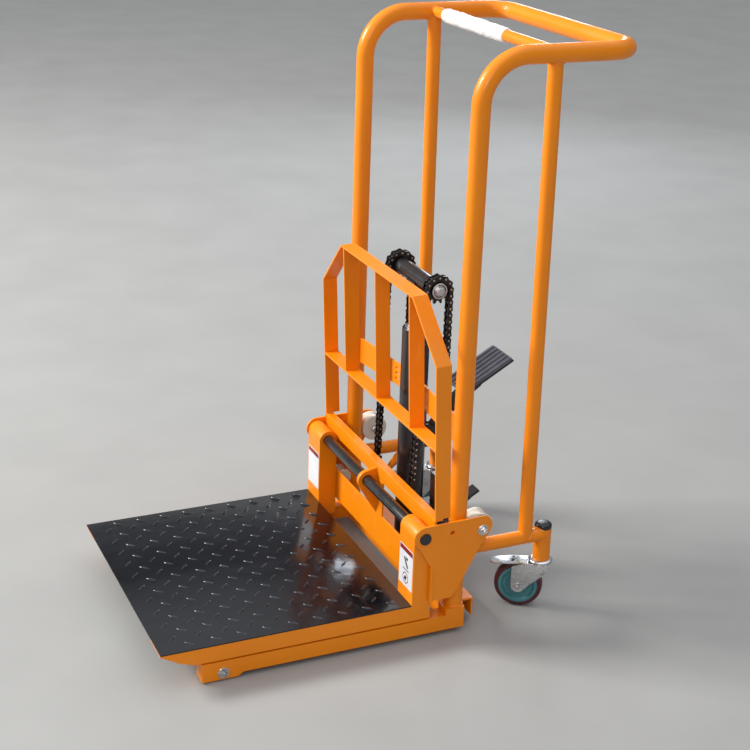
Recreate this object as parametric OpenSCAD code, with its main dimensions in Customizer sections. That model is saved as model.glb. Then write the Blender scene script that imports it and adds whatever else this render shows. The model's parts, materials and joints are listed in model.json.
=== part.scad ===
/* [Mast and handle] */
// Height of the handle above the floor
handle_h = 1376; // [1250:1:1500]
// Distance of the mast posts behind the middle of the machine
mast_y = 164; // [164:1:164]
// Half the distance between the two mast posts
post_x = 304.5; // [300:0.5:306]
// Outside diameter of the mast posts and the handle
post_od = 42; // [40:1:42]
// Radius of the bend from post to arm, on its centreline
arm_bend_r = 105; // [90:1:120]
// Distance of the rear bar behind the posts
rear_bar_y = 375; // [370:1:380]
// Radius of the bend from arm to rear bar
bar_bend_r = 62; // [60:1:100]
// Outside diameter of the rear struts and the side tubes
strut_od = 34; // [32:1:34]
// Outside diameter of the cross brace
brace_od = 27; // [22:1:30]
// Wall of every frame tube
tube_wall = 2.5; // [2:0.1:3]

/* [Base] */
// Half the width over the legs and the forks
half_w = 330; // [330:1:332]
// Width of a leg
leg_w = 40; // [40:1:42]
// Height of the top of the legs
leg_top = 50; // [49:1:51]
// Height of the raised block under each post
block_top = 67; // [64:1:70]
// Distance of the leg fronts ahead of the posts
leg_front = 630; // [620:1:640]
// Diameter of the front rollers
front_roller_d = 40; // [38:1:40]
// Diameter of the caster wheels
wheel_d = 118; // [114:1:118]
// Width of the caster wheels
wheel_w = 32; // [28:1:32]
// Distance of a wheel axle from its swivel axis
trail = 50; // [44:1:54]

/* [Carriage and forks] */
// Height of the fork rod above the floor
rod_z = 268.5; // [268.5:0.5:268.5]
// Diameter of the fork rod
rod_d = 28; // [26:1:30]
// Distance of the fork rod ahead of the posts
rod_y = 97; // [97:1:98]
// Distance of the carriage front plane ahead of the posts
face_y = 72; // [72:1:72]
// Width of one fork
fork_w = 79; // [70:1:79]
// Height of the top of the fork blades
fork_top = 92.7; // [92:0.1:92.8]
// Depth of the upright part of a fork
shank_d = 48; // [46:1:48]
// Length of the platform
deck_l = 603; // [560:1:603]
// Thickness of the platform
deck_t = 3; // [3:0.5:5]
// Height of the top of the backrest
backrest_top = 812; // [790:1:830]
// Forward lean of the backrest in degrees
backrest_lean = 2.5; // [0:0.5:3]
// Width of the flat bars of the backrest
bar_w = 38; // [34:1:38]
// Thickness of the flat bars of the backrest
bar_t = 5; // [4:0.5:6]

/* [Lift] */
// Outside diameter of the hydraulic cylinder
cyl_od = 68; // [64:1:70]
// Height of the top of the cylinder
cyl_top = 655; // [640:1:660]
// Diameter of the ram
ram_d = 35; // [32:1:38]
// Distance of the lift axis behind the posts
lift_y = 21; // [21:0.5:22]
// Height of the sprocket shaft with the carriage down
shaft_z = 782; // [780:1:790]
// Distance of each sprocket from the middle
chain_x = 104; // [100:1:106]
// Pitch of the lift chain
chain_pitch = 15.875; // [15.875:0.001:15.875]
// Teeth on a sprocket
teeth = 12; // [12:1:12]

/* [Hidden] */
$fn = 64;
eps = 0.5;
long = 2000;

post_r = post_od / 2;
strut_r = strut_od / 2;
arm_z = handle_h - post_r;
strut_x = 294.5;
strut_top_y = 178;
strut_foot_y = 190;
side_z = 202;
socket_x = 288;
socket_y = 243;
socket_r = 21;
socket_low = 134;
socket_high = 216;
cap_h = 13;
heading_right = -125;
heading_left = -100;
wheel_r = wheel_d / 2;
race_top = socket_low;
race_h = 10;
race_r = 30;
caster_axle_r = 6;
brake_x = 34;
brake_z = 125.5;
brake_tilt = 8;
front_roller_y = -580;

roller_gap = 0.3;
groove_r = post_r + roller_gap;
upper_roller_y = 50.3;
upper_roller_z = 267.3;
upper_flange_r = 34;
lower_roller_y = -39.5;
lower_roller_z = 135;
lower_flange_r = 25;
roller_w = 40;
plate_t = 6;
plate_in = half_w + 2;
plate_out = plate_in + plate_t;
axle_r = 8;
running = 0.05;

sleeve_r = shank_d / 2;
shank_front = -rod_y - sleeve_r;
shank_back = -rod_y + sleeve_r;
fork_tip = shank_front - deck_l;
fork_low = 54;
lug_half = 6;
rim_x = 333;
rim_foot = 310;
rim_corner = 686;
rim_top_x = 208;
rail_top = 484;

cyl_r = cyl_od / 2;
ram_r = ram_d / 2;
pitch_r = chain_pitch / 2 / sin(180 / teeth);
shaft_r = 10;
hub_r = 20;
tooth_w = 8.4;
strip_in = 5;
strip_out = 10.3;
chain_half_h = 7.5;
front_run_low = 285;
rear_run_low = 420;
chain_lean = 1.5;

pedal_pivot_y = 70;
pedal_pivot_z = 380;
pump_y = 108;
pad_angle = 30;
pad_front_y = 136;
pad_front_z = 483;
pad_l = 150;
release_pin = 170;

module in_place() { translate([0, mast_y, 0]) children(); }
module bar_x(r, x0, x1) { translate([x0, 0, 0]) rotate([0, 90, 0]) cylinder(r = r, h = x1 - x0); }
module at_yz(y, z) { translate([0, y, z]) children(); }
// Box from its lowest corner to its highest corner
module box(a, b) { translate(a) cube([b[0] - a[0], b[1] - a[1], b[2] - a[2]]); }
// Outline drawn in Y and Z, given a thickness from x0 to x1
module slab(x0, x1, pts) {
    translate([x0, 0, 0]) rotate([90, 0, 90]) linear_extrude(height = x1 - x0) polygon(pts);
}
module mirror_if(flip) { mirror([flip ? 1 : 0, 0, 0]) children(); }
// Straight hollow tube standing on the floor plane
module upright_tube(r, z0, z1) {
    translate([0, 0, z0]) difference() {
        cylinder(r = r, h = z1 - z0);
        translate([0, 0, -eps]) cylinder(r = r - tube_wall, h = z1 - z0 + 2 * eps);
    }
}
// Hollow tube along Y
module level_tube(r, y0, y1) { translate([0, y0, 0]) rotate([-90, 0, 0]) upright_tube(r, 0, y1 - y0); }
module tube_bend(r, bend) {
    rotate_extrude(angle = 90) translate([bend, 0]) difference() {
        circle(r = r);
        circle(r = r - tube_wall);
    }
}

// ---- mast, handle and base frame ----

module handle_tube() {
    color("darkorange") in_place() translate([post_x, 0, 0]) {
        upright_tube(post_r, block_top, arm_z - arm_bend_r);
        translate([0, arm_bend_r, arm_z - arm_bend_r]) rotate([0, 90, 180]) rotate([0, 0, 90])
            tube_bend(post_r, arm_bend_r);
        translate([0, 0, arm_z]) level_tube(post_r, arm_bend_r, rear_bar_y - bar_bend_r);
    }
}
module handle_tube_right() { handle_tube(); }
module handle_tube_left() { mirror_if(true) handle_tube(); }

module handle_rear_bar() {
    corner_x = post_x - bar_bend_r;
    color("darkorange") in_place() translate([0, rear_bar_y - bar_bend_r, arm_z]) {
        for (flip = [false, true]) mirror_if(flip) translate([corner_x, 0, 0]) tube_bend(post_r, bar_bend_r);
        translate([-corner_x, bar_bend_r, 0]) rotate([0, 90, 0]) upright_tube(post_r, 0, 2 * corner_x);
    }
}

module rear_strut() {
    lean = atan2(strut_foot_y - strut_top_y, arm_z - side_z);
    color("darkorange") in_place() difference() {
        translate([strut_x, strut_foot_y, side_z]) rotate([lean, 0, 0])
            upright_tube(strut_r, 0, arm_z - side_z);
        translate([strut_x, strut_foot_y - 100, side_z]) rotate([-90, 0, 0]) cylinder(r = strut_r, h = 200);
        translate([post_x, strut_top_y - 100, arm_z]) rotate([-90, 0, 0]) cylinder(r = post_r, h = 200);
    }
}
module rear_strut_right() { rear_strut(); }
module rear_strut_left() { mirror_if(true) rear_strut(); }

// The brace ends on the two arms, just above the tops of the rear struts
module cross_brace() {
    color("darkorange") in_place() difference() {
        translate([-post_x, strut_top_y, arm_z]) rotate([0, 90, 0]) upright_tube(brace_od / 2, 0, 2 * post_x);
        for (side = [-1, 1]) translate([side * post_x, 0, arm_z]) rotate([-90, 0, 0])
            cylinder(r = post_r, h = rear_bar_y);
        for (side = [-1, 1]) translate([side * strut_x, strut_top_y, arm_z - 60]) cylinder(r = strut_r, h = 60);
    }
}

module foam_wrap() {
    wrap_r = 19;
    wrap_l = 306;
    color("white") in_place() translate([-231, strut_top_y, arm_z]) rotate([0, 90, 0]) difference() {
        cylinder(r = wrap_r, h = wrap_l);
        translate([0, 0, -eps]) cylinder(r = brace_od / 2, h = wrap_l + 2 * eps);
    }
}

module side_tube() {
    color("darkorange") in_place() difference() {
        translate([strut_x, 0, side_z]) level_tube(strut_r, 0, socket_y);
        translate([post_x, 0, 0]) cylinder(r = post_r, h = long);
        translate([socket_x, socket_y, 0]) cylinder(r = socket_r, h = long);
    }
}
module side_tube_right() { side_tube(); }
module side_tube_left() { mirror_if(true) side_tube(); }

module caster_socket() {
    color("darkorange") in_place() translate([socket_x, socket_y, 0]) difference() {
        translate([0, 0, socket_low]) cylinder(r = socket_r, h = socket_high - socket_low);
        translate([0, 0, socket_low + 6]) cylinder(r = socket_r - 4, h = long);
    }
}
module caster_socket_right() { caster_socket(); }
module caster_socket_left() { mirror_if(true) caster_socket(); }

module socket_caps() {
    color("black") in_place() for (side = [-1, 1]) translate([side * socket_x, socket_y, socket_high])
        rotate_extrude() polygon([[0, -12], [socket_r - 4, -12], [socket_r - 4, 0], [socket_r, 0],
            [socket_r, cap_h - 4], [socket_r - 4, cap_h], [0, cap_h]]);
}

module caster_races() {
    color("silver") in_place() for (side = [-1, 1]) translate([side * socket_x, socket_y, race_top - race_h])
        rotate_extrude() polygon([[0, race_h], [0, 5], [race_r - 9, 5], [race_r - 5, 0], [race_r, 0],
            [race_r, race_h - 4], [race_r - 4, race_h]]);
}

// Legs are folded channels, open below, with a raised block under the post
module leg() {
    deep = 85;
    inner = half_w - leg_w;
    tip = -leg_front;
    color("darkorange") in_place() difference() {
        union() {
            slab(inner, half_w, [[tip, 4], [tip + deep, 4], [tip + deep + 12, 13], [-31, 13], [-31, leg_top],
                [tip, leg_top]]);
            box([inner, -31, 13], [half_w, 18, block_top]);
        }
        box([inner + 4, tip + 4, -eps], [half_w - 4, -40, leg_top - 4]);
        at_yz(front_roller_y, front_roller_d / 2) bar_x(6, 0, long);
    }
}
module leg_right() { leg(); }
module leg_left() { mirror_if(true) leg(); }

module front_axles() {
    color("silver") in_place() for (flip = [false, true]) mirror_if(flip)
        at_yz(front_roller_y, front_roller_d / 2) {
            bar_x(6, half_w - leg_w - 4, half_w + 4);
            difference() {
                bar_x(10, half_w, half_w + 3);
                bar_x(6, half_w - 1, half_w + 4);
            }
            difference() {
                bar_x(9, half_w - leg_w - 3, half_w - leg_w);
                bar_x(6, half_w - leg_w - 4, half_w - leg_w + 1);
            }
        }
}

module front_roller() {
    color("whitesmoke") in_place() at_yz(front_roller_y, front_roller_d / 2) difference() {
        bar_x(front_roller_d / 2, half_w - leg_w + 7, half_w - 7);
        bar_x(6 + running, 0, long);
    }
}
module front_roller_right() { front_roller(); }
module front_roller_left() { mirror_if(true) front_roller(); }

// Channel between the legs, with one arched web up to the cylinder on the left
module base_crossmember() {
    inner = half_w - leg_w;
    arch = [for (t = [0:0.1:1]) [-30 - t * 210, 325 - 265 * pow(t, 1.4)]];
    color("darkorange") in_place() {
        difference() {
            box([-inner, -18, 13], [inner, 62, 60]);
            box([-inner - 1, -13, -eps], [inner + 1, 57, 55]);
        }
        difference() {
            translate([0, lift_y + 4, 0]) rotate([90, 0, 0]) linear_extrude(height = 8)
                polygon(concat(arch, [[-200, 60], [-165, 150], [-117, 224], [-76, 262], [-30, 284]]));
            translate([0, lift_y, 60]) cylinder(r = cyl_r, h = long);
        }
    }
}

// Tapered plates, slotted beside the cylinder, tie it to both posts
module mid_brace() {
    slot_low = 503;
    slot_pitch = 14;
    color("darkorange") in_place() difference() {
        for (flip = [false, true]) mirror_if(flip) translate([0, 6, 0]) rotate([90, 0, 0])
            linear_extrude(height = 6) polygon([[-post_x, 461], [-post_x, 529], [-20, 547], [-20, 491]]);
        translate([0, lift_y, 0]) cylinder(r = cyl_r, h = long);
        for (side = [-1, 1]) translate([side * post_x, 0, 0]) cylinder(r = post_r, h = long);
        for (side = [-1, 1], row = [0:2]) translate([side * 52, 3, slot_low + row * slot_pitch])
            cube([24, 20, 5], center = true);
    }
}

// ---- hydraulic lift ----

module lift_cylinder() {
    bore_r = ram_r + 0.05;
    color("black") in_place() translate([0, lift_y, 0]) difference() {
        translate([0, 0, 60]) cylinder(r = cyl_r, h = cyl_top - 60);
        translate([0, 0, 190]) cylinder(r = bore_r, h = long);
    }
}

module gland_ring() {
    color("silver") in_place() translate([0, lift_y, cyl_top]) difference() {
        cylinder(r = 27, h = 7);
        translate([0, 0, -eps]) cylinder(r = ram_r + 0.05, h = 20);
    }
}

// Pump body and oil tank behind the cylinder, with the bracket that carries the pedal pivot
module pump_block() {
    back = 150;
    color("black") in_place() difference() {
        union() {
            box([-44, lift_y + 8, 60], [44, back, 168]);
            box([-22, pump_y - 18, 168], [22, pump_y + 18, 250]);
            for (flip = [false, true]) mirror_if(flip)
                slab(9, 14, [[lift_y + 20, 330], [lift_y + 20, 400], [60, 400], [82, 390], [82, 368], [62, 345]]);
            box([-26, back, 150], [-14, back + 22, 186]);
            box([44, back - 20, 96], [52, back, 120]);
        }
        translate([0, lift_y, 0]) cylinder(r = cyl_r, h = long);
        translate([0, pump_y, 180]) cylinder(r = 7.05, h = 100);
    }
    color("silver") in_place() {
        at_yz(pedal_pivot_y, pedal_pivot_z) bar_x(6, -14, 14);
        at_yz(release_pin, release_pin) bar_x(3, -26, 15);
    }
}

// Bolted eyes that hold the still ends of both chains
module chain_anchor() {
    tail_y = lift_y + pitch_r;
    color("black") in_place() for (flip = [false, true]) mirror_if(flip) difference() {
        union() {
            box([chain_x - 12, tail_y - 9, 372], [chain_x + 12, tail_y + 9, 386]);
            box([18, tail_y - 9, 360], [chain_x + 12, tail_y + 9, 372]);
            translate([chain_x, tail_y, 386]) cylinder(r = 6, h = rear_run_low - 386);
        }
        translate([0, lift_y, 0]) cylinder(r = cyl_r, h = long);
    }
}

module ram() {
    color("silver") in_place() translate([0, lift_y, 200]) cylinder(r = ram_r, h = shaft_z - 38 - 200);
}

module yoke() {
    low = shaft_z - 38;
    color("black") in_place() difference() {
        box([-22, lift_y - 22, low], [22, lift_y + 22, shaft_z - 6]);
        at_yz(lift_y, shaft_z) bar_x(hub_r, -30, 30);
    }
}

module hub_tube() {
    color("black") in_place() at_yz(lift_y, shaft_z) difference() {
        bar_x(hub_r, -chain_x + 7.5, chain_x - 7.5);
        bar_x(shaft_r, -long / 2, long / 2);
    }
}

module sprocket_shaft() {
    ear = chain_x + 8.5;
    color("silver") in_place() at_yz(lift_y, shaft_z) {
        bar_x(shaft_r, -ear - 14, ear + 14);
        for (flip = [false, true]) mirror_if(flip) difference() {
            union() {
                bar_x(19, ear, ear + 4);
                bar_x(15, ear + 4, ear + 12);
            }
            bar_x(shaft_r, ear - 1, ear + 13);
        }
    }
}

module sprocket() {
    tip_r = pitch_r + 3.6;
    color("black") in_place() at_yz(lift_y, shaft_z) difference() {
        union() {
            bar_x(tip_r, chain_x - tooth_w / 2, chain_x + tooth_w / 2);
            bar_x(16, chain_x - 7, chain_x + 8);
        }
        bar_x(shaft_r + running, 0, long);
        for (i = [0:teeth - 1]) rotate([i * 360 / teeth, 0, 0]) translate([0, pitch_r, 0])
            bar_x(5.2, chain_x - 5, chain_x + 5);
    }
}
module sprocket_right() { sprocket(); }
module sprocket_left() { mirror_if(true) sprocket(); }

// Outline in Y and Z of a strip that goes up the front run, over the sprocket and down the rear run
function run_outline(half) = let(
    turn = [for (i = [0:20]) 180 - chain_lean - i * (180 - chain_lean) / 20],
    drop = (shaft_z - front_run_low) * [-sin(chain_lean), -cos(chain_lean)],
    outer = [for (a = turn) (pitch_r + half) * [cos(a), sin(a)]],
    inner = [for (i = [20:-1:0]) (pitch_r - half) * [cos(turn[i]), sin(turn[i])]])
    concat([inner[20] + drop, outer[0] + drop], outer, [[pitch_r + half, rear_run_low - shaft_z],
        [pitch_r - half, rear_run_low - shaft_z]], inner);

// A chain as two side strips that run over its sprocket, with a web between them on the straight runs
module chain() {
    web_half = chain_half_h - 3;
    web_top = -42;
    web_x = strip_in + 1;
    color("black") in_place() at_yz(lift_y, shaft_z) {
        for (x0 = [chain_x - strip_out, chain_x + strip_in])
            slab(x0, x0 + strip_out - strip_in, run_outline(chain_half_h));
        box([chain_x - web_x, pitch_r - web_half, rear_run_low + 1 - shaft_z],
            [chain_x + web_x, pitch_r + web_half, web_top]);
        rotate([-chain_lean, 0, 0]) box([chain_x - web_x, -pitch_r - web_half, front_run_low + 1 - shaft_z],
            [chain_x + web_x, -pitch_r + web_half, web_top]);
    }
}
module chain_right() { chain(); }
module chain_left() { mirror_if(true) chain(); }

// ---- carriage ----

module side_plate() {
    lug_r = 24;
    rear_r = 23;
    color("darkorange") in_place() difference() {
        union() {
            slab(plate_in, plate_out, [[-rod_y, rod_z + 30], [upper_roller_y, 302],
                [upper_roller_y + rear_r - 2, upper_roller_z - 8], [47, 228], [-10, 120], [-24, 103],
                [-75, 103], [-80, 192], [-rod_y - lug_r + 2, rod_z - 10]]);
            at_yz(-rod_y, rod_z + 2) bar_x(lug_r + 4, plate_in, plate_out);
            at_yz(upper_roller_y, upper_roller_z + 10) bar_x(rear_r + 1.7, plate_in, plate_out);
            box([plate_in, -82, 103], [plate_out + 4, -74, 190]);
        }
        at_yz(-rod_y, rod_z) bar_x(rod_d / 2 + 0.05, 0, long);
        at_yz(upper_roller_y, upper_roller_z) bar_x(axle_r, 0, long);
        at_yz(-28, 272.5) bar_x(5.5, 0, long);
    }
}
module side_plate_right() { side_plate(); }
module side_plate_left() { mirror_if(true) side_plate(); }

// Angle bar across the top of the carriage
module upper_crossbar() {
    color("darkorange") in_place() {
        box([-plate_in, -face_y, 272], [plate_in, -face_y + 5, 310]);
        box([-plate_in, -face_y + 5, 305], [plate_in, -51, 310]);
    }
}

// Plate between the side plates, with the lug that steadies the middle of the fork rod
module lower_crossbeam() {
    color("darkorange") in_place() difference() {
        union() {
            box([-plate_in, -face_y, 97], [plate_in, -face_y + 5, 180]);
            slab(-lug_half, lug_half, [[-face_y, 178], [-face_y, 300], [-rod_y, rod_z + 26],
                [-rod_y - 25, rod_z], [-rod_y - 16, rod_z - 25]]);
            at_yz(-rod_y, rod_z) bar_x(25, -lug_half, lug_half);
            box([-40, -face_y, 180], [40, -face_y + 5, 272]);
        }
        at_yz(-rod_y, rod_z) bar_x(rod_d / 2 + 0.05, -long / 2, long / 2);
    }
}

module lean_back() { translate([0, -face_y, rim_foot]) rotate([backrest_lean, 0, 0]) children(); }
// Flat bar set on edge, drawn between two outline points of its outer side
module rim_outline(inset) {
    top = backrest_top - rim_foot - inset;
    bend = rim_corner - rim_foot - inset * 0.41;
    polygon([[-rim_x + inset, -inset * 4], [-rim_x + inset, bend], [-rim_top_x + inset * 0.41, top],
        [rim_top_x - inset * 0.41, top], [rim_x - inset, bend], [rim_x - inset, -inset * 4]]);
}
module backrest_rim() {
    color("darkorange") in_place() difference() {
        lean_back() rotate([90, 0, 0]) translate([0, 0, -bar_w]) linear_extrude(height = bar_w) difference() {
            rim_outline(0);
            rim_outline(bar_t);
        }
        box([-400, -200, 0], [400, 200, rim_foot]);
    }
}

module backrest_bars() {
    top = backrest_top - rim_foot - bar_t;
    rail = rail_top - rim_foot;
    color("darkorange") in_place() lean_back() {
        box([-rim_x + bar_t, 0, rail - bar_t], [rim_x - bar_t, bar_w, rail]);
        for (x = [-190, 0, 190]) box([x - bar_t / 2, 0, rail], [x + bar_t / 2, bar_w, top]);
    }
}

module roller_axles() {
    inner = post_x - roller_w / 2 - 5;
    color("silver") in_place() for (flip = [false, true]) mirror_if(flip) {
        at_yz(upper_roller_y, upper_roller_z) {
            bar_x(axle_r, inner, plate_out + 8);
            difference() {
                bar_x(13, plate_out, plate_out + 7);
                bar_x(axle_r, plate_out - 1, plate_out + 9);
            }
        }
        at_yz(lower_roller_y, lower_roller_z) bar_x(axle_r, inner, plate_in);
    }
}

// Concave roller that hugs a round post
module guide_roller(y, z, flange_r) {
    reach = abs(y);
    color("whitesmoke") in_place() difference() {
        translate([post_x, y, z]) rotate([0, 90, 0]) rotate_extrude() difference() {
            translate([0, -roller_w / 2]) square([flange_r, roller_w]);
            translate([reach, 0]) circle(r = groove_r);
        }
        at_yz(y, z) bar_x(axle_r + running, 0, long);
    }
}
module upper_roller_right() { guide_roller(upper_roller_y, upper_roller_z, upper_flange_r); }
module upper_roller_left() { mirror_if(true) upper_roller_right(); }
module lower_roller_right() { guide_roller(lower_roller_y, lower_roller_z, lower_flange_r); }
module lower_roller_left() { mirror_if(true) lower_roller_right(); }

// Short posts on the upper crossbar that take the lifted ends of both chains
module chain_lugs() {
    end_y = lift_y - pitch_r * cos(chain_lean) - (shaft_z - front_run_low) * sin(chain_lean);
    color("black") in_place() for (side = [-1, 1]) translate([side * chain_x, 0, 0]) {
        box([-12, -face_y + 5, 272], [12, end_y + 8, 280]);
        translate([0, end_y, 280]) cylinder(r = 6, h = front_run_low - 280 - 0.5);
    }
}

// ---- forks and platform ----

module fork_rod() {
    color("black") in_place() at_yz(-rod_y, rod_z) bar_x(rod_d / 2, -plate_out - 3, plate_out + 3);
}

// L-shaped fork: folded channel blade and shank, hung from a sleeve on the rod
module fork() {
    inner = half_w - fork_w;
    wall = 5;
    color("darkorange") in_place() difference() {
        union() {
            slab(inner, half_w, [[fork_tip, fork_top - 2], [fork_tip + 42, fork_top - 26],
                [fork_tip + 78, fork_low], [shank_back, fork_low], [shank_back, rod_z],
                [shank_front, rod_z], [shank_front, fork_top], [fork_tip, fork_top]]);
            at_yz(-rod_y, rod_z) bar_x(sleeve_r, inner, half_w);
        }
        at_yz(-rod_y, rod_z) bar_x(rod_d / 2 + running, 0, long);
        box([inner + wall, fork_tip + 40, 0], [half_w - wall, shank_front - 10, fork_top - wall]);
        box([inner + wall, shank_front + wall, 66], [half_w - wall, 0, rod_z - sleeve_r - 4]);
    }
}
module fork_right() { fork(); }
module fork_left() { mirror_if(true) fork(); }

module platform() {
    low = fork_top + 0.3;
    color("black") in_place() box([-half_w, fork_tip, low], [half_w, shank_front - 0.5, low + deck_t]);
}

// ---- casters ----

// Things drawn with the swivel axis at the origin and the wheel ahead along +X
module caster_at(heading) { in_place() translate([socket_x, socket_y, 0]) rotate([0, 0, heading]) children(); }
module mirrored_caster_at(heading) {
    in_place() translate([-socket_x, socket_y, 0]) rotate([0, 0, heading]) children();
}

module caster_fork_shape() {
    leg_in = wheel_w / 2 + 4;
    crown_t = 4;
    crown_top = race_top - race_h - 0.5;
    color("silver") difference() {
        union() {
            translate([0, 0, crown_top - crown_t]) cylinder(r = race_r - 2, h = crown_t);
            translate([0, -leg_in - 3, crown_top - crown_t]) cube([trail * 0.6, 2 * leg_in + 6, crown_t]);
            for (side = [-1, 1]) translate([0, side * (leg_in + 1.5) + 1.5, 0]) rotate([90, 0, 0])
                linear_extrude(height = 3) polygon([[-20, crown_top], [34, crown_top], [trail + 17, crown_top - 13],
                    [trail + 17, wheel_r - 4], [trail + 11, wheel_r - 13], [trail, wheel_r - 17],
                    [trail - 11, wheel_r - 13], [trail - 31, wheel_r + 8]]);
        }
        translate([trail, 0, wheel_r]) rotate([90, 0, 0]) cylinder(r = caster_axle_r, h = 100, center = true);
        translate([0, 0, crown_top - 10]) cylinder(r = 5, h = 100);
    }
}
module caster_fork_right() { caster_at(heading_right) caster_fork_shape(); }
module caster_fork_left() { mirrored_caster_at(heading_left) caster_fork_shape(); }

module caster_wheel_shape() {
    color("teal") translate([trail, 0, wheel_r]) rotate([90, 0, 0]) difference() {
        rotate_extrude() polygon([[0, -wheel_w / 2 - 2], [14, -wheel_w / 2 - 2], [14, -wheel_w / 2 + 5],
            [wheel_r - 16, -wheel_w / 2 + 5], [wheel_r - 12, -wheel_w / 2], [wheel_r - 4, -wheel_w / 2],
            [wheel_r, -wheel_w / 2 + 6], [wheel_r, wheel_w / 2 - 6], [wheel_r - 4, wheel_w / 2],
            [wheel_r - 12, wheel_w / 2], [wheel_r - 16, wheel_w / 2 - 5], [14, wheel_w / 2 - 5],
            [14, wheel_w / 2 + 2], [0, wheel_w / 2 + 2]]);
        cylinder(r = caster_axle_r + running, h = 100, center = true);
    }
}
module caster_wheel_right() { caster_at(heading_right) caster_wheel_shape(); }
module caster_wheel_left() { mirrored_caster_at(heading_left) caster_wheel_shape(); }

module caster_axle_shape() {
    face = wheel_w / 2 + 7;
    color("silver") translate([trail, 0, wheel_r]) rotate([90, 0, 0]) {
        cylinder(r = caster_axle_r, h = 2 * face + 6, center = true);
        for (flip = [0, 1]) mirror([0, 0, flip]) translate([0, 0, face]) difference() {
            cylinder(r = 10, h = 6);
            translate([0, 0, -eps]) cylinder(r = caster_axle_r, h = 10);
        }
    }
}
module caster_axle_right() { caster_at(heading_right) caster_axle_shape(); }
module caster_axle_left() { mirrored_caster_at(heading_left) caster_axle_shape(); }

// Pressed steel brake pedal ahead of the race, hinged above the wheel
module brake_pedal_shape() {
    color("silver") translate([brake_x, 0, brake_z]) rotate([0, brake_tilt, 0])
        translate([-3, -22, -1.5]) cube([92, 44, 3]);
}
module brake_pedal_right() { caster_at(heading_right) brake_pedal_shape(); }
module brake_pedal_left() { mirrored_caster_at(heading_left) brake_pedal_shape(); }

// ---- foot pump ----

module pump_lever() {
    color("black") in_place() difference() {
        union() {
            slab(-6, 6, [[62, 368], [78, 366], [150, 440], [204, 480], [250, 545], [236, 538], [190, 512],
                [160, 494], [128, 466], [66, 396]]);
            at_yz(pedal_pivot_y, pedal_pivot_z) bar_x(14, -6, 6);
            at_yz(pad_front_y, pad_front_z) rotate([pad_angle, 0, 0]) box([-50, 0, -5], [50, pad_l, 0]);
        }
        at_yz(pedal_pivot_y, pedal_pivot_z) bar_x(6 + running, -20, 20);
    }
}

module pedal_pad() {
    rib = 9;
    color("dimgray") in_place() at_yz(pad_front_y, pad_front_z) rotate([pad_angle, 0, 0]) {
        box([-50, 0, 0], [50, pad_l, 4]);
        for (i = [0:5]) box([-48 + i * (rib + 8.4), 0, 4], [-48 + i * (rib + 8.4) + rib, pad_l, 8]);
    }
}

module pump_plunger() {
    color("silver") in_place() translate([0, pump_y, 212]) cylinder(r = 7, h = 166);
}

module release_pedal() {
    color("black") in_place() difference() {
        union() {
            slab(-10, 10, [[164, 162], [180, 162], [205, 182], [205, 190], [180, 180], [164, 178]]);
            slab(-18, 18, [[184, 175], [213, 192], [210, 197], [181, 180]]);
        }
        at_yz(release_pin, release_pin) bar_x(3 + running, -50, 50);
    }
}

handle_tube_left();
handle_tube_right();
handle_rear_bar();
rear_strut_left();
rear_strut_right();
cross_brace();
foam_wrap();
side_tube_left();
side_tube_right();
caster_socket_left();
caster_socket_right();
socket_caps();
caster_races();
leg_left();
leg_right();
base_crossmember();
mid_brace();
lift_cylinder();
gland_ring();
pump_block();
chain_anchor();
front_axles();
side_plate_left();
side_plate_right();
upper_crossbar();
lower_crossbeam();
backrest_rim();
backrest_bars();
roller_axles();
chain_lugs();
upper_roller_left();
upper_roller_right();
lower_roller_left();
lower_roller_right();
fork_rod();
fork_left();
fork_right();
platform();
ram();
yoke();
sprocket_shaft();
hub_tube();
sprocket_left();
sprocket_right();
chain_left();
chain_right();
caster_fork_left();
caster_fork_right();
caster_wheel_left();
caster_wheel_right();
caster_axle_left();
caster_axle_right();
brake_pedal_left();
brake_pedal_right();
front_roller_left();
front_roller_right();
pump_lever();
pedal_pad();
pump_plunger();
release_pedal();
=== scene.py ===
"""Looks of the foot-pump platform stacker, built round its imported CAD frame."""
import json
import math
import random

import bmesh
import bpy
from mathutils import Matrix, Vector, noise


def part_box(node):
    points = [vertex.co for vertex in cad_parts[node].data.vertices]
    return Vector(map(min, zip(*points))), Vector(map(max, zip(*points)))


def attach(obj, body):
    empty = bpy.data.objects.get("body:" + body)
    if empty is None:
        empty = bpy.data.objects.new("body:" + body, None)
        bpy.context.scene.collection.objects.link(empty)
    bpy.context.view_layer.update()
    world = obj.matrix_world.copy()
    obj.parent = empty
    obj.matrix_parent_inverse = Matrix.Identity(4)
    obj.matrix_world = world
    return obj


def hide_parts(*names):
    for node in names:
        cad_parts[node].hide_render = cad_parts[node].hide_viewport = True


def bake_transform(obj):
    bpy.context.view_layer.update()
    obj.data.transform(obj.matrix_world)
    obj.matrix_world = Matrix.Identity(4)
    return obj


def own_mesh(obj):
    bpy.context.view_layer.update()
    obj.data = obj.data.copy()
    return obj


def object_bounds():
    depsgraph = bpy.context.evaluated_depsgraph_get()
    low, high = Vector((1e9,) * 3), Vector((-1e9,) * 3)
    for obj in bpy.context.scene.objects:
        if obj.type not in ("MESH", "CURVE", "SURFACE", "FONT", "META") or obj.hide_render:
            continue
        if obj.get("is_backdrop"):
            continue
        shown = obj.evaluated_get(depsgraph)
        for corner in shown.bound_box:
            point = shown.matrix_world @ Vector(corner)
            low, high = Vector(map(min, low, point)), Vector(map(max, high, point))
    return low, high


MM = 0.001
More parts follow.
